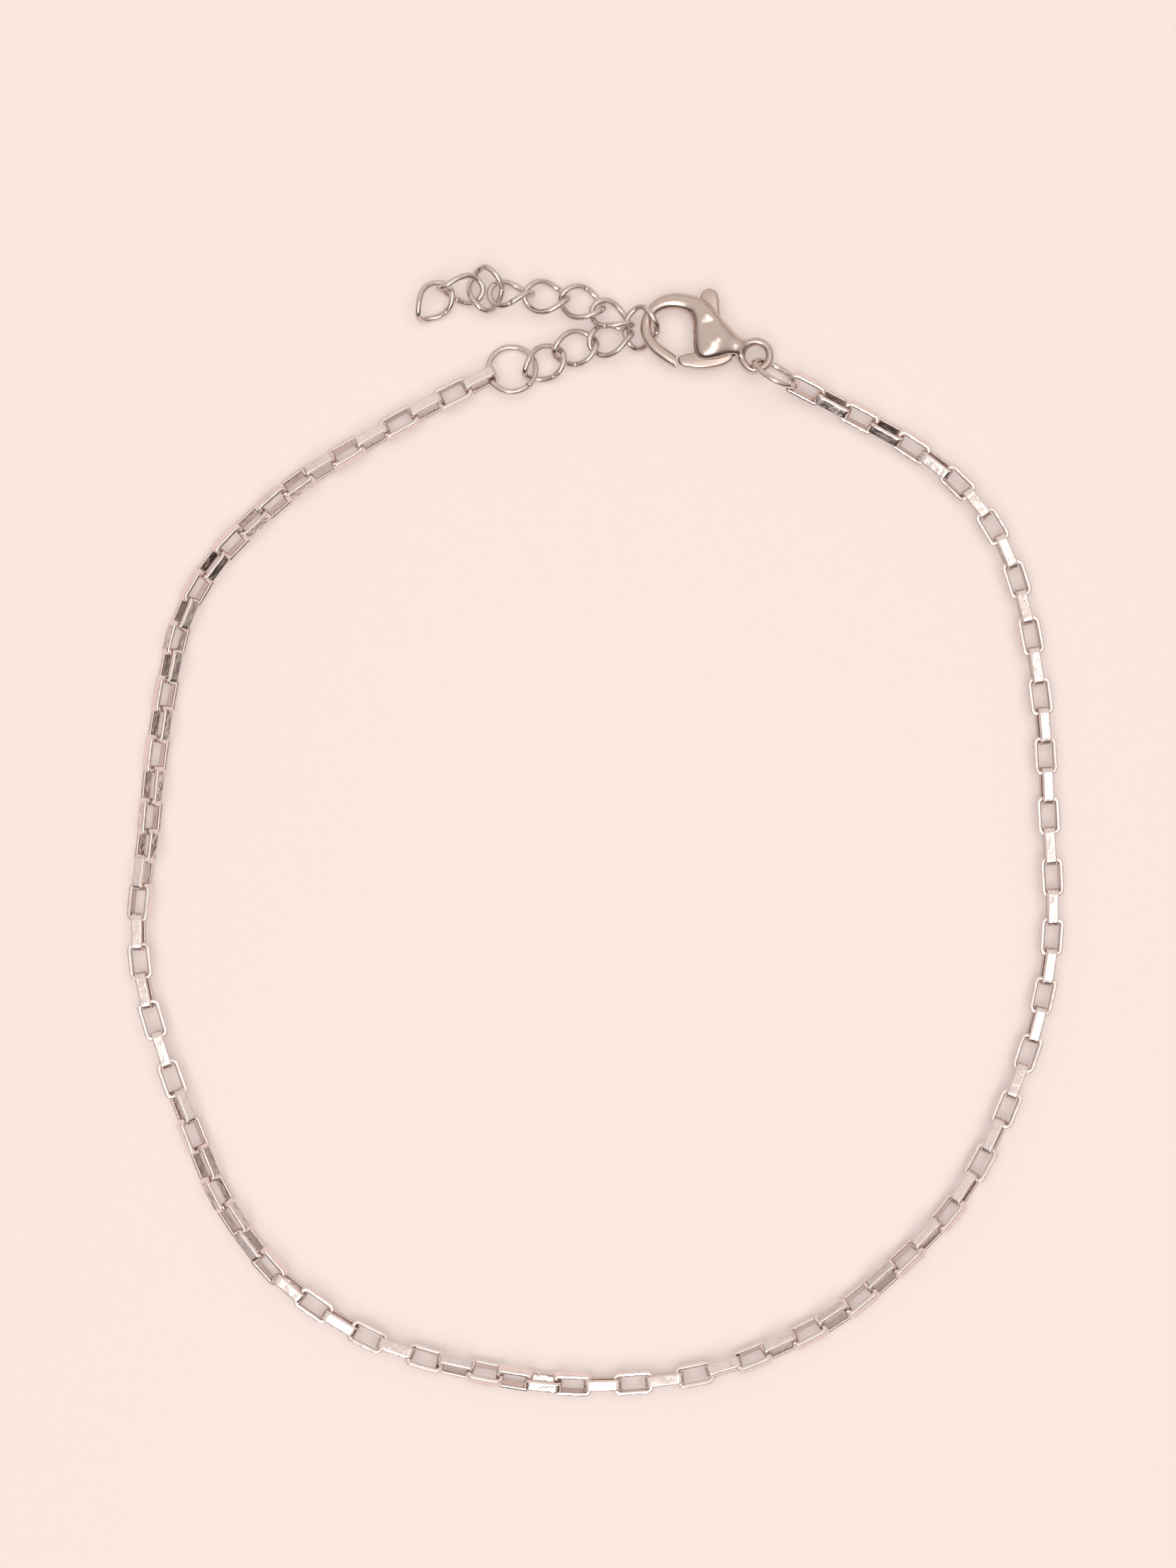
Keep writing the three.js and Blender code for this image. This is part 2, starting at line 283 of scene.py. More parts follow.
def scratch_group():
    """Height and mask of scratches that run along the first axis of the place given."""
    group = bpy.data.node_groups.new("fine_scratches", "ShaderNodeTree")
    socket(group, "Place", "INPUT", "NodeSocketVector")
    socket(group, "Across", "INPUT", "NodeSocketFloat")
    socket(group, "Along", "INPUT", "NodeSocketFloat")
    socket(group, "Height", "OUTPUT", "NodeSocketFloat")
    socket(group, "Mask", "OUTPUT", "NodeSocketFloat")
    nodes, links = group.nodes, group.links
    given = nodes.new("NodeGroupInput")
    result = nodes.new("NodeGroupOutput")
    stretch = nodes.new("ShaderNodeCombineXYZ")
    links.new(given.outputs["Along"], stretch.inputs["X"])
    links.new(given.outputs["Across"], stretch.inputs["Y"])
    links.new(given.outputs["Across"], stretch.inputs["Z"])
    drawn = nodes.new("ShaderNodeVectorMath")
    drawn.operation = "MULTIPLY"
    links.new(given.outputs["Place"], drawn.inputs[0])
    links.new(stretch.outputs[0], drawn.inputs[1])
    grain = nodes.new("ShaderNodeTexNoise")
    grain.inputs["Scale"].default_value = 1.0
    grain.inputs["Detail"].default_value = GRAIN_DETAIL
    links.new(drawn.outputs[0], grain.inputs["Vector"])
    keep = nodes.new("ShaderNodeMapRange")
    keep.inputs["From Min"].default_value = SCRATCH_FROM
    keep.inputs["From Max"].default_value = SCRATCH_TO
    links.new(grain.outputs["Fac"], keep.inputs["Value"])
    links.new(grain.outputs["Fac"], result.inputs["Height"])
    links.new(keep.outputs[0], result.inputs["Mask"])
    return group


FINE_SCRATCHES = scratch_group()
print("group:", FINE_SCRATCHES.name)

# %% Node group for uneven bloom
PATCH_DETAIL = 2.0
BLOOM_FROM = 0.3
BLOOM_TO = 0.7


def bloom_group():
    """A slow patchy value between a low and a high one."""
    group = bpy.data.node_groups.new("soft_bloom", "ShaderNodeTree")
    socket(group, "Place", "INPUT", "NodeSocketVector")
    socket(group, "Size", "INPUT", "NodeSocketFloat")
    socket(group, "Low", "INPUT", "NodeSocketFloat")
    socket(group, "High", "INPUT", "NodeSocketFloat")
    socket(group, "Value", "OUTPUT", "NodeSocketFloat")
    nodes, links = group.nodes, group.links
    given = nodes.new("NodeGroupInput")
    result = nodes.new("NodeGroupOutput")
    patch = nodes.new("ShaderNodeTexNoise")
    patch.inputs["Detail"].default_value = PATCH_DETAIL
    links.new(given.outputs["Place"], patch.inputs["Vector"])
    links.new(given.outputs["Size"], patch.inputs["Scale"])
    spread = nodes.new("ShaderNodeMapRange")
    spread.inputs["From Min"].default_value = BLOOM_FROM
    spread.inputs["From Max"].default_value = BLOOM_TO
    links.new(patch.outputs["Fac"], spread.inputs["Value"])
    links.new(given.outputs["Low"], spread.inputs["To Min"])
    links.new(given.outputs["High"], spread.inputs["To Max"])
    links.new(spread.outputs[0], result.inputs["Value"])
    return group


SOFT_BLOOM = bloom_group()
print("group:", SOFT_BLOOM.name)

# %% Steel finish
# Depth in the strip, from its inner face towards its middle, over which the painted shade fades.
INSIDE_SHADE_FROM = -0.17
INSIDE_SHADE_TO = -0.04
# Painted shade: a darker base colour on the inner faces of strip links that stands in for shade in the
# gaps.
INSIDE_SHADE_COLOUR = (0.64, 0.55, 0.51, 1)
BLOOM_SIZE = 1.1
SWELL_SIZE = 1.7
WAVE_DEPTH = 0.1
SCRATCH_DEPTH = 0.05

FINISH_COLUMNS = ("name", "light", "dark", "dull_low", "dull_high", "across", "along", "bump", "wave")
FINISHES = [
    ("strip_steel", (0.865, 0.77, 0.735), (0.645, 0.555, 0.515), 0.13, 0.26, 16.0, 1.6, 0.05, 0.17),
    ("wire_steel", (0.70, 0.615, 0.577), (0.52, 0.443, 0.405), 0.14, 0.26, 6.0, 1.0, 0.08, 0.12),
    ("cast_steel", (0.63, 0.525, 0.47), (0.58, 0.48, 0.428), 0.19, 0.27, 14.0, 14.0, 0.02, 0.04),
    ("lever_steel", (0.61, 0.505, 0.452), (0.56, 0.462, 0.41), 0.22, 0.3, 14.0, 8.0, 0.02, 0.04),
]


def painted_inside_shade(nodes, links, place, colour):
    """A colour with painted shade, darker on the inner face of a strip link."""
    parts = nodes.new("ShaderNodeSeparateXYZ")
    links.new(place.outputs["Vector"], parts.inputs[0])
    outward = nodes.new("ShaderNodeMapRange")
    outward.inputs["From Min"].default_value = INSIDE_SHADE_FROM
    outward.inputs["From Max"].default_value = INSIDE_SHADE_TO
    links.new(parts.outputs["Z"], outward.inputs["Value"])
    reach = nodes.new("ShaderNodeMix")
    reach.data_type = "RGBA"
    reach.inputs["A"].default_value = INSIDE_SHADE_COLOUR
    links.new(outward.outputs[0], reach.inputs["Factor"])
    links.new(colour, reach.inputs["B"])
    return reach.outputs["Result"]


def steel(name, light, dark, dull_low, dull_high, across, along, bump, wave):
    """Steel whose scratches and waves follow the places stored on each piece."""
    material = bpy.data.materials.new(name)
    material.use_nodes = True
    nodes, links = material.node_tree.nodes, material.node_tree.links
    shader = nodes["Principled BSDF"]
    shader.inputs["Metallic"].default_value = 1.0
    place = nodes.new("ShaderNodeAttribute")
    place.attribute_name = "strip_place"
    scratches = nodes.new("ShaderNodeGroup")
    scratches.node_tree = FINE_SCRATCHES
    scratches.inputs["Across"].default_value = across
    scratches.inputs["Along"].default_value = along
    links.new(place.outputs["Vector"], scratches.inputs["Place"])
    bloom = nodes.new("ShaderNodeGroup")
    bloom.node_tree = SOFT_BLOOM
    bloom.inputs["Size"].default_value = BLOOM_SIZE
    bloom.inputs["Low"].default_value = dull_low
    bloom.inputs["High"].default_value = dull_high
    links.new(place.outputs["Vector"], bloom.inputs["Place"])
    links.new(bloom.outputs["Value"], shader.inputs["Roughness"])
    tone = nodes.new("ShaderNodeMix")
    tone.data_type = "RGBA"
    tone.inputs["A"].default_value = (*light, 1)
    tone.inputs["B"].default_value = (*dark, 1)
    links.new(scratches.outputs["Mask"], tone.inputs["Factor"])
    colour = tone.outputs["Result"]
    # Painted shade on the inner faces of the strip links.
    if name == "strip_steel":
        colour = painted_inside_shade(nodes, links, place, colour)
    links.new(colour, shader.inputs["Base Color"])
    swell = nodes.new("ShaderNodeGroup")
    swell.node_tree = SOFT_BLOOM
    swell.inputs["Size"].default_value = SWELL_SIZE
    swell.inputs["Low"].default_value = 0.0
    swell.inputs["High"].default_value = 1.0
    links.new(place.outputs["Vector"], swell.inputs["Place"])
    waves = nodes.new("ShaderNodeBump")
    waves.inputs["Strength"].default_value = wave
    waves.inputs["Distance"].default_value = WAVE_DEPTH * MM
    links.new(swell.outputs["Value"], waves.inputs["Height"])
    relief = nodes.new("ShaderNodeBump")
    relief.inputs["Strength"].default_value = bump
    relief.inputs["Distance"].default_value = SCRATCH_DEPTH * MM
    links.new(waves.outputs["Normal"], relief.inputs["Normal"])
    links.new(scratches.outputs["Height"], relief.inputs["Height"])
    links.new(relief.outputs["Normal"], shader.inputs["Normal"])
    return material


steels = {row["name"]: steel(**row) for row in named_rows(FINISH_COLUMNS, FINISHES)}
print("finishes:", ", ".join(steels))

# %% [markdown]
# ## Box chain
# Each link of a box chain is a strip of steel bent round into a rectangle, a quarter turn on from the
# last, so that its neighbours' end bars sit inside it. The strip has softly rounded edges, which give
# the thin bright lines along every link. Instances of one link would be lighter, but the links here
# differ a little in length, and the end bars bite into each other. So each half of the chain is joined
# into one closed mesh.

# %% Box chain links
STRIP_EDGE = 0.13
# How far the flats are held straight beside each round corner.
HOLD = 0.03
ROLL_SWAY = math.radians(5)
# From one link to the next, the sway goes on by this angle and the scratches by this length.
SWAY_STEP = 2.4
MARK_STEP = 7.3
BEND_STEPS = 6
EDGE_STEPS = 4
HALVES = [
    ("box_chain_left", 1, LEFT_COUNT),
    ("box_chain_right", LEFT_COUNT + 1, LINK_COUNT),
]

strip_section = [p for p, _ in rounded_rectangle(STRIP_THICK, STRIP_WIDTH, STRIP_EDGE, EDGE_STEPS, HOLD)]
strip_section.reverse()


def link_ends(index):
    """The outer ends of a link's bend and its roll, from the joints on either side."""
    (start, roll_a), (end, roll_b) = joints[index - 1], joints[index]
    forward = (end - start).normalized()
    start_bite = -MEET_GAP if index - 1 == LEFT_COUNT else LINK_BITE
    end_bite = -MEET_GAP if index == LEFT_COUNT else LINK_BITE
    tail = start + forward * (start_bite / 2 - STRIP_THICK)
    nose = end + forward * (STRIP_THICK - end_bite / 2)
    quarter = math.pi / 2 if index % 2 else 0
    sway = ROLL_SWAY * math.sin(SWAY_STEP * index)
    return tail, nose, forward, (roll_a + roll_b) / 2 + quarter + sway


def strip_link(index):
    """Rings of points round one link, with the place of each on the strip."""
    tail, nose, forward, turn = link_ends(index)
    side = UP.cross(forward).normalized()
    lift = forward.cross(side)
    across = side * math.cos(turn) + lift * math.sin(turn)
    through = forward.cross(across)
    centre = (tail + nose) / 2
    length = (nose - tail).length - STRIP_THICK
    corner = LINK_CORNER - STRIP_THICK / 2
    bend = rounded_rectangle(length, LINK_WIDTH - STRIP_THICK, corner, BEND_STEPS, HOLD)
    points, places = [], []
    walked, last = 0.0, bend[0][0]
    for (a, b), (na, nb) in bend:
        walked += math.dist((a, b), last)
        last = (a, b)
        for thick, wide in strip_section:
            points.append(centre + forward * (a + na * thick) + across * (b + nb * thick) + through * wide)
            places.append((walked + MARK_STEP * index, wide, thick))
    return points, places


def strip_links(name, indices):
    """The links of these numbers as one object."""
    verts, faces, places = [], [], []
    sides = len(strip_section)
    for index in indices:
        points, where = strip_link(index)
        faces += ring_faces(len(points) // sides, sides, True, len(verts))
        verts += points
        places += where
    piece = new_piece(name, verts, faces, steels["strip_steel"])
    mark_places(piece, places)
    return piece


def chain_half(name, first, last):
    """Every second link joined with those between, where their end bars bite into each other."""
    piece = strip_links(name, range(first, last + 1, 2))
    between = strip_links(name + "_between", range(first + 1, last + 1, 2))
    combine(piece, between, "UNION", "MANIFOLD")
    print(name, "has", len(piece.data.polygons), "faces")
    return piece


for node, first, last in HALVES:
    half = chain_half(node + "_links", first, last)
    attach(half, "anklet")
    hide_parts(node)

# %% [markdown]
# ## Extender links and rings
# The extender is made of oval wire links, each twisted so that its two ends stand across each other, and
# both rings are plain round wire. Every one is bent from a cut length, so a thin seam shows where the
# ends meet. The sweep therefore stays open, with its two ends a hair apart.

# %% Wire links
WIRE_RADIUS = 0.235
OVAL_HALF_LENGTH = 1.7
OVAL_HALF_WIDTH = 1.27
OVAL_TWIST = math.radians(-46)
RING_RADIUS = 1.85
SEAM_GAP = 0.03
WIRE_STEPS = 72
WIRE_SIDES = 16

WIRE_COLUMNS = ("node", "x", "y", "z", "heading", "roll", "pitch", "seam")
WIRES = [
    ("extender_ring", -6.64, 35.84, 0.69, 0, -14, 0, -47),
    ("extender_link_01", -4.14, 36.24, 1.01, 31, 20, 1, -80),
    ("extender_link_02", -1.68, 37.47, 1.01, 15.5, 7, 0, -95),
    ("extender_link_03", 1.09, 38.15, 1.09, 15.5, -23, 3, 80),
    ("extender_link_04", 3.44, 38.98, 1.18, 83, -2, 24, -90),
    ("extender_link_05", 1.21, 39.89, 1.19, 156, 41, -4, 90),
    ("extender_link_06", -1.14, 40.99, 0.95, 165, 16, 1, -85),
    ("extender_link_07", -3.94, 41.44, 1.03, 177, 20, 2, -125),
    ("extender_link_08", -6.69, 41.64, 1.24, 179, 46, -5, 95),
    ("extender_link_09", -8.69, 42.04, 1.11, 95, 0, 4, -90),
    ("extender_link_10", -10.59, 41.99, 1.31, 179, -51, 2, 85),
    ("extender_link_11", -12.74, 41.04, 1.07, 229, -26, 0, 100),
    ("clasp_ring", 13.87, 35.36, 1.93, -29, 114, 0, 200),
]


def oval_point(angle):
    """A point of the twisted oval that an extender link is bent round."""
    x = OVAL_HALF_LENGTH * math.cos(angle)
    width = OVAL_HALF_WIDTH * math.sin(angle)
    twist = OVAL_TWIST * math.cos(angle)
    return Vector((x, width * math.cos(twist), width * math.sin(twist)))


def ring_point(angle):
    """A point of the circle that a ring is bent round."""
    return Vector((RING_RADIUS * math.cos(angle), RING_RADIUS * math.sin(angle), 0))


def wire_sweep(points, radius):
    """Rings round a line of points, each turned as little as possible from the one before."""
    verts, places = [], []
    normal = None
    walked = 0.0
    for k, point in enumerate(points):
        before, after = points[max(k - 1, 0)], points[min(k + 1, len(points) - 1)]
        along = (after - before).normalized()
        normal = along.orthogonal() if normal is None else normal - along * normal.dot(along)
        normal.normalize()
        other = along.cross(normal)
        walked += (point - before).length
        for i in range(WIRE_SIDES):
            angle = 2 * math.pi * i / WIRE_SIDES
            verts.append(point + radius * (normal * math.cos(angle) + other * math.sin(angle)))
            places.append((walked, radius * math.cos(angle), radius * math.sin(angle)))
    return verts, places


def wire_link(node, x, y, z, heading, roll, pitch, seam):
    """One wire link or ring, turned and laid in its place."""
    shape = ring_point if node.endswith("ring") else oval_point
    tip = Matrix.Rotation(-math.radians(pitch), 3, "Y")
    spin = Matrix.Rotation(math.radians(roll), 3, "X")
    turn = Matrix.Rotation(math.radians(heading), 3, "Z") @ tip @ spin
    start = math.radians(seam) + SEAM_GAP / 2
    sweep = 2 * math.pi - SEAM_GAP
    angles = [start + sweep * k / WIRE_STEPS for k in range(WIRE_STEPS + 1)]
    line = [turn @ shape(angle) + Vector((x, y, z)) for angle in angles]
    verts, places = wire_sweep(line, WIRE_RADIUS)
    piece = new_piece(node + "_wire", verts, ring_faces(len(line), WIRE_SIDES, False), steels["wire_steel"])
    mark_places(piece, places)
    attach(piece, "anklet")
    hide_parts(node)


for row in named_rows(WIRE_COLUMNS, WIRES):
    wire_link(**row)
print("wire links and rings:", len(WIRES))

# %% [markdown]
# ## Clasp body
# The body is a casting: a hook, a thick shoulder with a round swelling over the pivot, and an eye, all
# run together with soft edges. Separate solids would meet in hard lines, so the casting is described as
# a field: at each point of a grid, how far it lies outside the metal. Fields are easily run together,
# and the surface where the field is nought becomes the mesh. The slot for the lever is cut last, to keep
# its edges.

# %% Clasp sizes
CLASP_AT = Vector((12.37, 36.81, 1.32))
EYE_RADIUS = 1.1
EYE_WIRE = 0.33
EYE_STRETCH = 1.4
BODY_HALF = 0.9
BODY_EDGE = 0.8
DOME = {"x": -3.15, "y": 1.15, "wide": 1.62, "deep": 1.5, "half": 1.31}
PIVOT = {"x": -2.78, "y": 0.67, "radius": 0.42, "clearance": 0.1}
SLOT_HALF = 0.52
LEVER_HALF = 0.42
LEVER_EDGE = 0.26
PIN_HALF = 0.6
WELD = 0.001
# The hook is cut square here, which concerns only the first rows of its table.
HOOK_TIP = -6.22
HOOK_TIP_ROWS = 4
OUTLINE_STEPS = 6
PIN_SIDES = 32
PLATE_EDGE_STEPS = 3
SHARP_ANGLE = math.radians(38)

HOOK_COLUMNS = ("x", "y", "half", "tall")
HOOK = [
    (-5.6, -0.85, 0.46, 0.42),
    (-6.38, -0.4, 0.46, 0.42),
    (-7.11, 0.08, 0.48, 0.44),
    (-7.85, 0.66, 0.47, 0.45),
    (-8.36, 1.35, 0.44, 0.45),
    (-8.56, 2.1, 0.43, 0.45),
    (-8.42, 2.9, 0.43, 0.46),
    (-8.0, 3.58, 0.46, 0.5),
    (-7.3, 4.06, 0.56, 0.55),
    (-6.28, 4.25, 0.64, 0.62),
    (-5.33, 4.08, 0.7, 0.7),
    (-4.56, 3.7, 0.8, 0.8),
    (-4.0, 3.1, 0.85, 0.85),
]
BODY_OUTLINE = [
    (-4.5, 4.5),
    (-3.0, 3.44),
    (-2.0, 2.17),
    (-1.44, 1.56),
    (-0.75, 1.15),
    (-1.05, 0.0),
    (-2.0, -0.1),
    (-2.56, -0.22),
    (-3.67, -0.5),
    (-4.5, -0.33),
    (-4.89, 0.39),
    (-4.94, 1.78),
    (-4.94, 3.44),
    (-5.0, 4.2),
]
LEVER_OUTLINE = [
    (-6.02, -0.12),
    (-6.02, -0.55),
    (-5.75, -0.82),
    (-5.22, -0.94),
    (-4.22, -1.06),
    (-3.11, -0.92),
    (-2.28, -0.67),
    (-1.83, -0.28),
    (-1.78, 0.67),
    (-2.33, 1.78),
    (-2.78, 3.17),
    (-2.89, 4.5),
    (-3.1, 5.01),
    (-3.61, 5.22),
    (-4.12, 5.01),
    (-4.33, 4.5),
    (-4.22, 3.44),
    (-3.67, 1.78),
    (-3.94, 0.78),
    (-4.5, 0.33),
    (-5.06, 0.18),
]
SLOT_OUTLINE = [
    (-4.56, 5.67),
    (-1.17, 5.67),
    (-1.56, 2.06),
    (-1.6, -0.28),
    (-1.44, -1.56),
    (-5.6, -1.56),
    (-5.6, 1.25),
    (-5.02, 1.3),
    (-4.75, 2.1),
    (-4.3, 2.7),
    (-4.56, 3.44),
]
print("hook rows:", len(HOOK))

# %% Shapes for the casting, one unit to the millimetre
def rough_piece(name, verts, faces):
    """A mesh object as it is made, without finish or place."""
    mesh = bpy.data.meshes.new(name)
    mesh.from_pydata([tuple(v) for v in verts], [], faces)
    return linked_object(name, mesh)


def smooth_outline(table):
    """A closed smooth line through the corners of an outline."""
    points = [Vector((x, y, 0)) for x, y in table]
    shares = [s / OUTLINE_STEPS for s in range(OUTLINE_STEPS)]
    return [smooth_point(points, k, share, True) for k in range(len(points)) for share in shares]


def circle_at_pivot(radius):
    """Points of a circle round the lever's pivot."""
    angles = (2 * math.pi * k / PIN_SIDES for k in range(PIN_SIDES))
    x, y = PIVOT["x"], PIVOT["y"]
    return [Vector((x + radius * math.cos(a), y + radius * math.sin(a), 0)) for a in angles]


def prism(name, corners, half):
    """A straight block over a counter-clockwise outline."""
    verts = [p - UP * half for p in corners] + [p + UP * half for p in corners]
    return rough_piece(name, verts, ring_faces(2, len(corners), False))


def edged_plate(name, outlines, half, edge):
    """A flat plate with round edges, from an outer outline and any holes."""
    curve = bpy.data.curves.new(name, "CURVE")
    curve.dimensions = "2D"
    curve.fill_mode = "BOTH"
    curve.extrude = half - edge
    curve.bevel_depth = edge
    curve.bevel_resolution = PLATE_EDGE_STEPS
    curve.offset = -edge
    for outline in outlines:
        spline = curve.splines.new("POLY")
        spline.points.add(len(outline) - 1)
        for point, place in zip(spline.points, outline):
            point.co = (place.x, place.y, 0, 1)
        spline.use_cyclic_u = True
    drawn = linked_object(name + "_outline", curve)
    mesh = shown_mesh(drawn)
    bpy.data.objects.remove(drawn)
    welded = bmesh.new()
    welded.from_mesh(mesh)
    bmesh.ops.remove_doubles(welded, verts=welded.verts, dist=WELD)
    welded.to_mesh(mesh)
    welded.free()
    return linked_object(name, mesh)


print("shapes for the casting ready")

# %% Fields of the casting
CAST_STEP = 0.06
CAST_LOW = (-9.6, -2.1, -1.8)
CAST_HIGH = (1.9, 5.5, 1.8)
FAR = 1e9
TINY = 1e-9
grid_lines = [np.arange(low, high, CAST_STEP) for low, high in zip(CAST_LOW, CAST_HIGH)]
grid_x, grid_y, grid_z = np.meshgrid(*grid_lines, indexing="ij", sparse=True)


def nearest_on(line, closed):
    """For each grid column, the distance to a line of points and how far along the line that is."""
    best = np.full((grid_x * grid_y).shape, FAR)
    where = np.zeros_like(best)
    spans = len(line) if closed else len(line) - 1
    for k in range(spans):
        a, b = line[k], line[(k + 1) % len(line)]
        step = b - a
        share = ((grid_x - a.x) * step.x + (grid_y - a.y) * step.y) / step.length_squared
        share = np.clip(share, 0, 1)
        away = np.hypot(grid_x - a.x - share * step.x, grid_y - a.y - share * step.y)
        nearer = away < best
        best = np.where(nearer, away, best)
        where = np.where(nearer, k + share, where)
    return best, where


def inside(line):
    """Which grid columns lie inside a closed line of points."""
    within = np.zeros((grid_x * grid_y).shape, bool)
    for a, b in zip(line, line[1:] + line[:1]):
        spans = (a.y > grid_y) != (b.y > grid_y)
        rise = b.y - a.y or TINY
        within ^= spans & (grid_x < a.x + (grid_y - a.y) * (b.x - a.x) / rise)
    return within


def soft_join(first, second, reach):
    """Runs two fields together with a fillet of about this reach."""
    share = np.clip(0.5 + 0.5 * (second - first) / reach, 0, 1)
    return second + share * (first - second) - reach * share * (1 - share)


def rub(field, rounds):
    """Softens the creases of a field by averaging it with its neighbours."""
    for _ in range(rounds):
        for axis in (0, 1):
            field = (np.roll(field, 1, axis) + 2 * field + np.roll(field, -1, axis)) / 4
    return field


print("grid points:", grid_x.size * grid_y.size * grid_z.size)

# %% Parts of the casting as fields
RUB_ROUNDS = 20
DOME_FILLET = 0.3
HOOK_FILLET = 0.5
EYE_FILLET = 0.3


def pillow_field():
    """The shoulder: flat in the middle, with edges rounded over to nothing at the outline."""
    outline = smooth_outline(BODY_OUTLINE)
    away, _ = nearest_on(outline, True)
    deep = rub(np.where(inside(outline), -away, away), RUB_ROUNDS)
    over = np.maximum(deep + BODY_EDGE, 0) / BODY_EDGE
    return (np.hypot(over, grid_z / BODY_HALF) - 1) * BODY_EDGE


def dome_field():
    """The round swelling over the pivot."""
    x, y = (grid_x - DOME["x"]) / DOME["wide"], (grid_y - DOME["y"]) / DOME["deep"]
    return (np.sqrt(x**2 + y**2 + (grid_z / DOME["half"])**2) - 1) * DOME["half"]


def hook_field():
    """The hook: an oval rod that thickens from its tip to its root, cut straight at the tip."""
    rows = named_rows(HOOK_COLUMNS, HOOK)
    path = [Vector((row["x"], row["y"], 0)) for row in rows]
    shares = [s / OUTLINE_STEPS for s in range(OUTLINE_STEPS)]
    line = [smooth_point(path, k, share) for k in range(len(path) - 1) for share in shares]
    away, where = nearest_on(line + [path[-1]], False)
    stations = np.arange(len(rows)) * OUTLINE_STEPS
    half = np.interp(where, stations, [row["half"] for row in rows])
    tall = np.interp(where, stations, [row["tall"] for row in rows])
    rod = (np.hypot(away / half, grid_z / tall) - 1) * half
    near_tip = where < HOOK_TIP_ROWS * OUTLINE_STEPS
    return np.where(near_tip, np.maximum(rod, grid_x - HOOK_TIP), rod)


def eye_field():
    """The eye: a ring of oval wire that stands taller than it is wide."""
    out = (np.hypot(grid_x, grid_y) - EYE_RADIUS) / EYE_WIRE
    return (np.hypot(out, grid_z / (EYE_WIRE * EYE_STRETCH)) - 1) * EYE_WIRE


shoulder = soft_join(pillow_field(), dome_field(), DOME_FILLET)
with_hook = soft_join(shoulder, hook_field(), HOOK_FILLET)
casting_field = soft_join(with_hook, eye_field(), EYE_FILLET)
print("deepest in the metal: %.2f mm" % -casting_field.min())

# %% Cast body
def skin_of(field):
    """The surface where a field is nought, as a piece in millimetres."""
    grid = openvdb.FloatGrid(1.0)
    grid.copyFromArray(field.astype(np.float32))
    points, quads = grid.convertToQuads(0.0)
    verts = points * CAST_STEP + np.array(CAST_LOW)
    return rough_piece("skin", verts.tolist(), quads.tolist())


def finish_casting(piece, name, node, body, finish):
    """Moves a millimetre mesh to its place in the frame and gives it its finish."""
    places = [tuple(v.co) for v in piece.data.vertices]
    piece.data.transform(Matrix.Diagonal((MM, MM, MM, 1)) @ Matrix.Translation(CLASP_AT + SETTLE))
    piece.name = name
    piece.data.name = name
    piece.data.materials.clear()
    piece.data.materials.append(steels[finish])
    piece.data.shade_smooth()
    piece.data.set_sharp_from_angle(angle=SHARP_ANGLE)
    mark_places(piece, places)
    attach(piece, body)
    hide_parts(node)


casting = skin_of(casting_field)
slot_corners = [Vector((x, y, 0)) for x, y in reversed(SLOT_OUTLINE)]
combine(casting, prism("slot", slot_corners, SLOT_HALF), "DIFFERENCE", "EXACT")
combine(casting, prism("pin", circle_at_pivot(PIVOT["radius"]), PIN_HALF), "UNION", "EXACT")
heights = [v.co.z for v in casting.data.vertices]
print("casting has", len(heights), "points, from %.2f to %.2f mm" % (min(heights), max(heights)))
finish_casting(casting, "clasp_body_casting", "clasp_body", "anklet", "cast_steel")

# %% [markdown]
# ## Clasp lever
# The lever is one pressing: a round thumb tab at the back and the gate that closes the hook. It turns on
# a hidden pin, so it rides on its own body in the frame. A filled outline with a round edge is enough
# for it.

# %% Lever
pin_hole = circle_at_pivot(PIVOT["radius"] + PIVOT["clearance"])
lever = edged_plate("lever", [smooth_outline(LEVER_OUTLINE), pin_hole], LEVER_HALF, LEVER_EDGE)
finish_casting(lever, "clasp_lever_pressing", "clasp_lever", "lever", "lever_steel")
print("lever has", len(lever.data.polygons), "faces")

# %% [markdown]
# ## Table, light and camera
# The anklet lies on a plain pale peach table. Polished steel shows what stands round it, so the room
# matters as much as the lamps: its pale ceiling leaves flat plates a warm grey, its dark band near the
# table draws the dark lines, and a few soft boxes make the white flashes. A wide fill light that casts
# no shadow and does not show in the steel keeps the table even. The camera looks straight down.

# %% Table
FLOOR_COLOUR = (0.194, 0.167, 0.158, 1)
FLOOR_ROUGHNESS = 0.7
FLOOR_HALF_SIDE = 1.2
CORNER_SIGNS = ((-1, -1), (1, -1), (1, 1), (-1, 1))

floor_mesh = bpy.data.meshes.new("table_top")
corners = [(sx * FLOOR_HALF_SIDE, sy * FLOOR_HALF_SIDE, 0) for sx, sy in CORNER_SIGNS]
floor_mesh.from_pydata(corners, [], [(0, 1, 2, 3)])
floor = linked_object("table_top", floor_mesh)
paper = bpy.data.materials.new("peach_table")
paper.use_nodes = True
paper_shader = paper.node_tree.nodes["Principled BSDF"]
paper_shader.inputs["Base Color"].default_value = FLOOR_COLOUR
paper_shader.inputs["Roughness"].default_value = FLOOR_ROUGHNESS
floor_mesh.materials.append(paper)
print("table is %.1f m wide" % (2 * FLOOR_HALF_SIDE))

# %% Light
BOX_DISTANCE = 1.2
LAMP_COLOUR = (1.0, 0.97, 0.95)
FILL_SIZE = 1.6
FILL_WATTS = 80.5

LIGHT_COLUMNS = ("name", "bearing", "from_above", "size", "watts")
LIGHTS = [
    ("front_box", 268, 22, 0.6, 1.8),
    ("right_box", 2, 14, 0.32, 0.62),
    ("low_front_box", 258, 45, 0.34, 3.2),
]


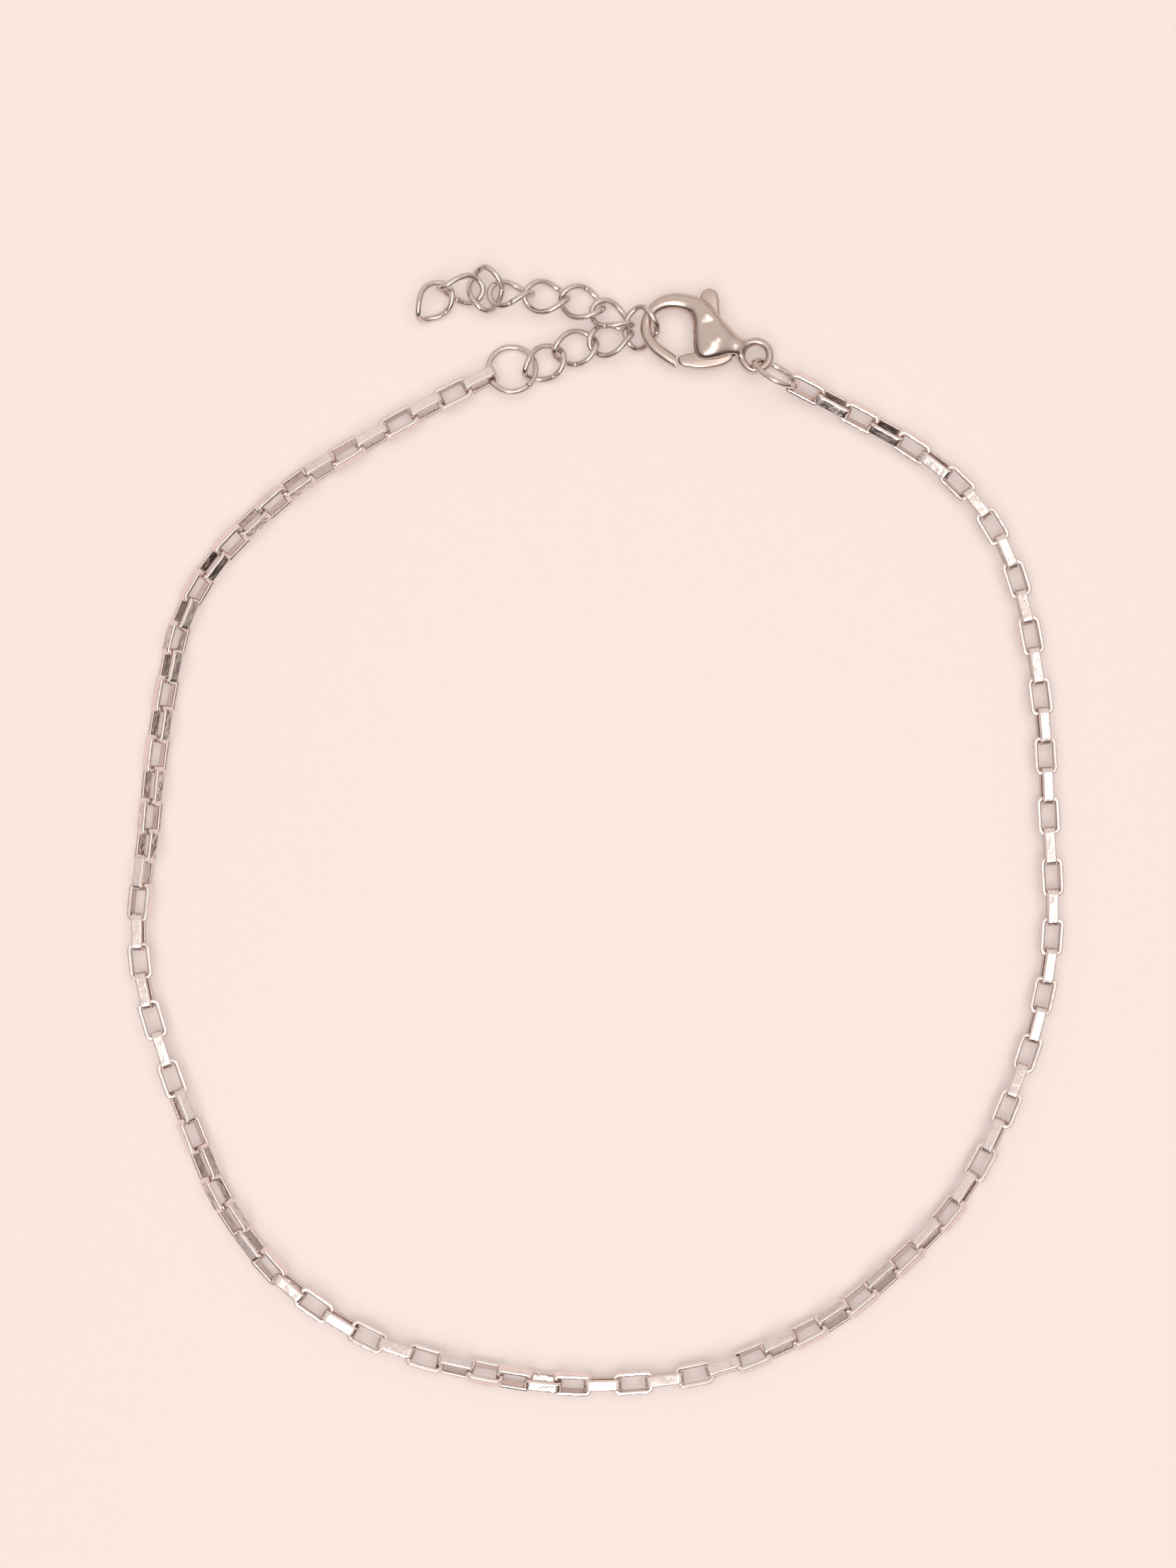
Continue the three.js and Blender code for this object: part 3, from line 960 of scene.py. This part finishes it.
def soft_box(name, size, watts, place):
    """A square lamp that faces the middle of the table."""
    lamp = bpy.data.lights.new(name, "AREA")
    lamp.size = size
    lamp.energy = watts
    lamp.color = LAMP_COLOUR
    box = linked_object(name, lamp)
    box.location = place
    box.rotation_euler = (-place).to_track_quat("-Z", "Y").to_euler()
    return box


for row in named_rows(LIGHT_COLUMNS, LIGHTS):
    turned, tipped = math.radians(row["bearing"]), math.radians(row["from_above"])
    flat = math.sin(tipped)
    away = Vector((flat * math.cos(turned), flat * math.sin(turned), math.cos(tipped)))
    soft_box(row["name"], row["size"], row["watts"], BOX_DISTANCE * away)
fill = soft_box("fill_light", FILL_SIZE, FILL_WATTS, BOX_DISTANCE * UP)
fill.data.use_shadow = False
fill.visible_glossy = False
print("soft boxes:", len(LIGHTS))

# %% Room round the table
# The dark band stands higher at the front of the room than at the back.
FRONT_SHARE = 0.3
RAMP_MIDDLE = 0.5
ROOM_COLUMNS = ("height", "colour")
ROOM = [
    (0.0, (0.025, 0.021, 0.019)),
    (0.12, (0.06, 0.05, 0.045)),
    (0.26, (0.50, 0.445, 0.415)),
    (0.6, (0.80, 0.75, 0.725)),
    (0.87, (0.92, 0.86, 0.83)),
    (1.0, (0.86, 0.79, 0.75)),
]
world = bpy.data.worlds.new("studio")
world.use_nodes = True
bpy.context.scene.world = world
room_nodes, room_links = world.node_tree.nodes, world.node_tree.links
direction = room_nodes.new("ShaderNodeTexCoord")
parts = room_nodes.new("ShaderNodeSeparateXYZ")
shades = room_nodes.new("ShaderNodeValToRGB")
while len(shades.color_ramp.elements) < len(ROOM):
    shades.color_ramp.elements.new(RAMP_MIDDLE)
for stop, row in zip(shades.color_ramp.elements, named_rows(ROOM_COLUMNS, ROOM)):
    stop.position = row["height"]
    stop.color = (*row["colour"], 1)
room_links.new(direction.outputs["Generated"], parts.inputs[0])
darker_front = room_nodes.new("ShaderNodeMath")
darker_front.operation = "MULTIPLY_ADD"
darker_front.inputs[1].default_value = FRONT_SHARE
room_links.new(parts.outputs["Y"], darker_front.inputs[0])
room_links.new(parts.outputs["Z"], darker_front.inputs[2])
room_links.new(darker_front.outputs[0], shades.inputs["Fac"])
room_links.new(shades.outputs["Color"], room_nodes["Background"].inputs["Color"])
room_nodes["Background"].inputs["Strength"].default_value = 1.0
print("room shades:", len(ROOM))

# %% Camera
PHOTO_HEIGHT = 2212
PIXELS_PER_MM = 18.0
CAMERA_HEIGHT = 228.0
CAMERA_X = -0.694
CAMERA_Y = 3.444
SENSOR = 36.0
NEAREST_SHOWN = 0.01

eye_data = bpy.data.cameras.new("photo_camera")
eye_data.sensor_fit = "VERTICAL"
eye_data.sensor_height = SENSOR
eye_data.lens = SENSOR * CAMERA_HEIGHT / (PHOTO_HEIGHT / PIXELS_PER_MM)
eye_data.clip_start = NEAREST_SHOWN
camera = linked_object("photo_camera", eye_data)
camera.location = (Vector((CAMERA_X, CAMERA_Y, CAMERA_HEIGHT)) + SETTLE) * MM
bpy.context.scene.camera = camera
bpy.context.scene.view_settings.view_transform = "Standard"
print("lens: %.1f mm" % eye_data.lens)
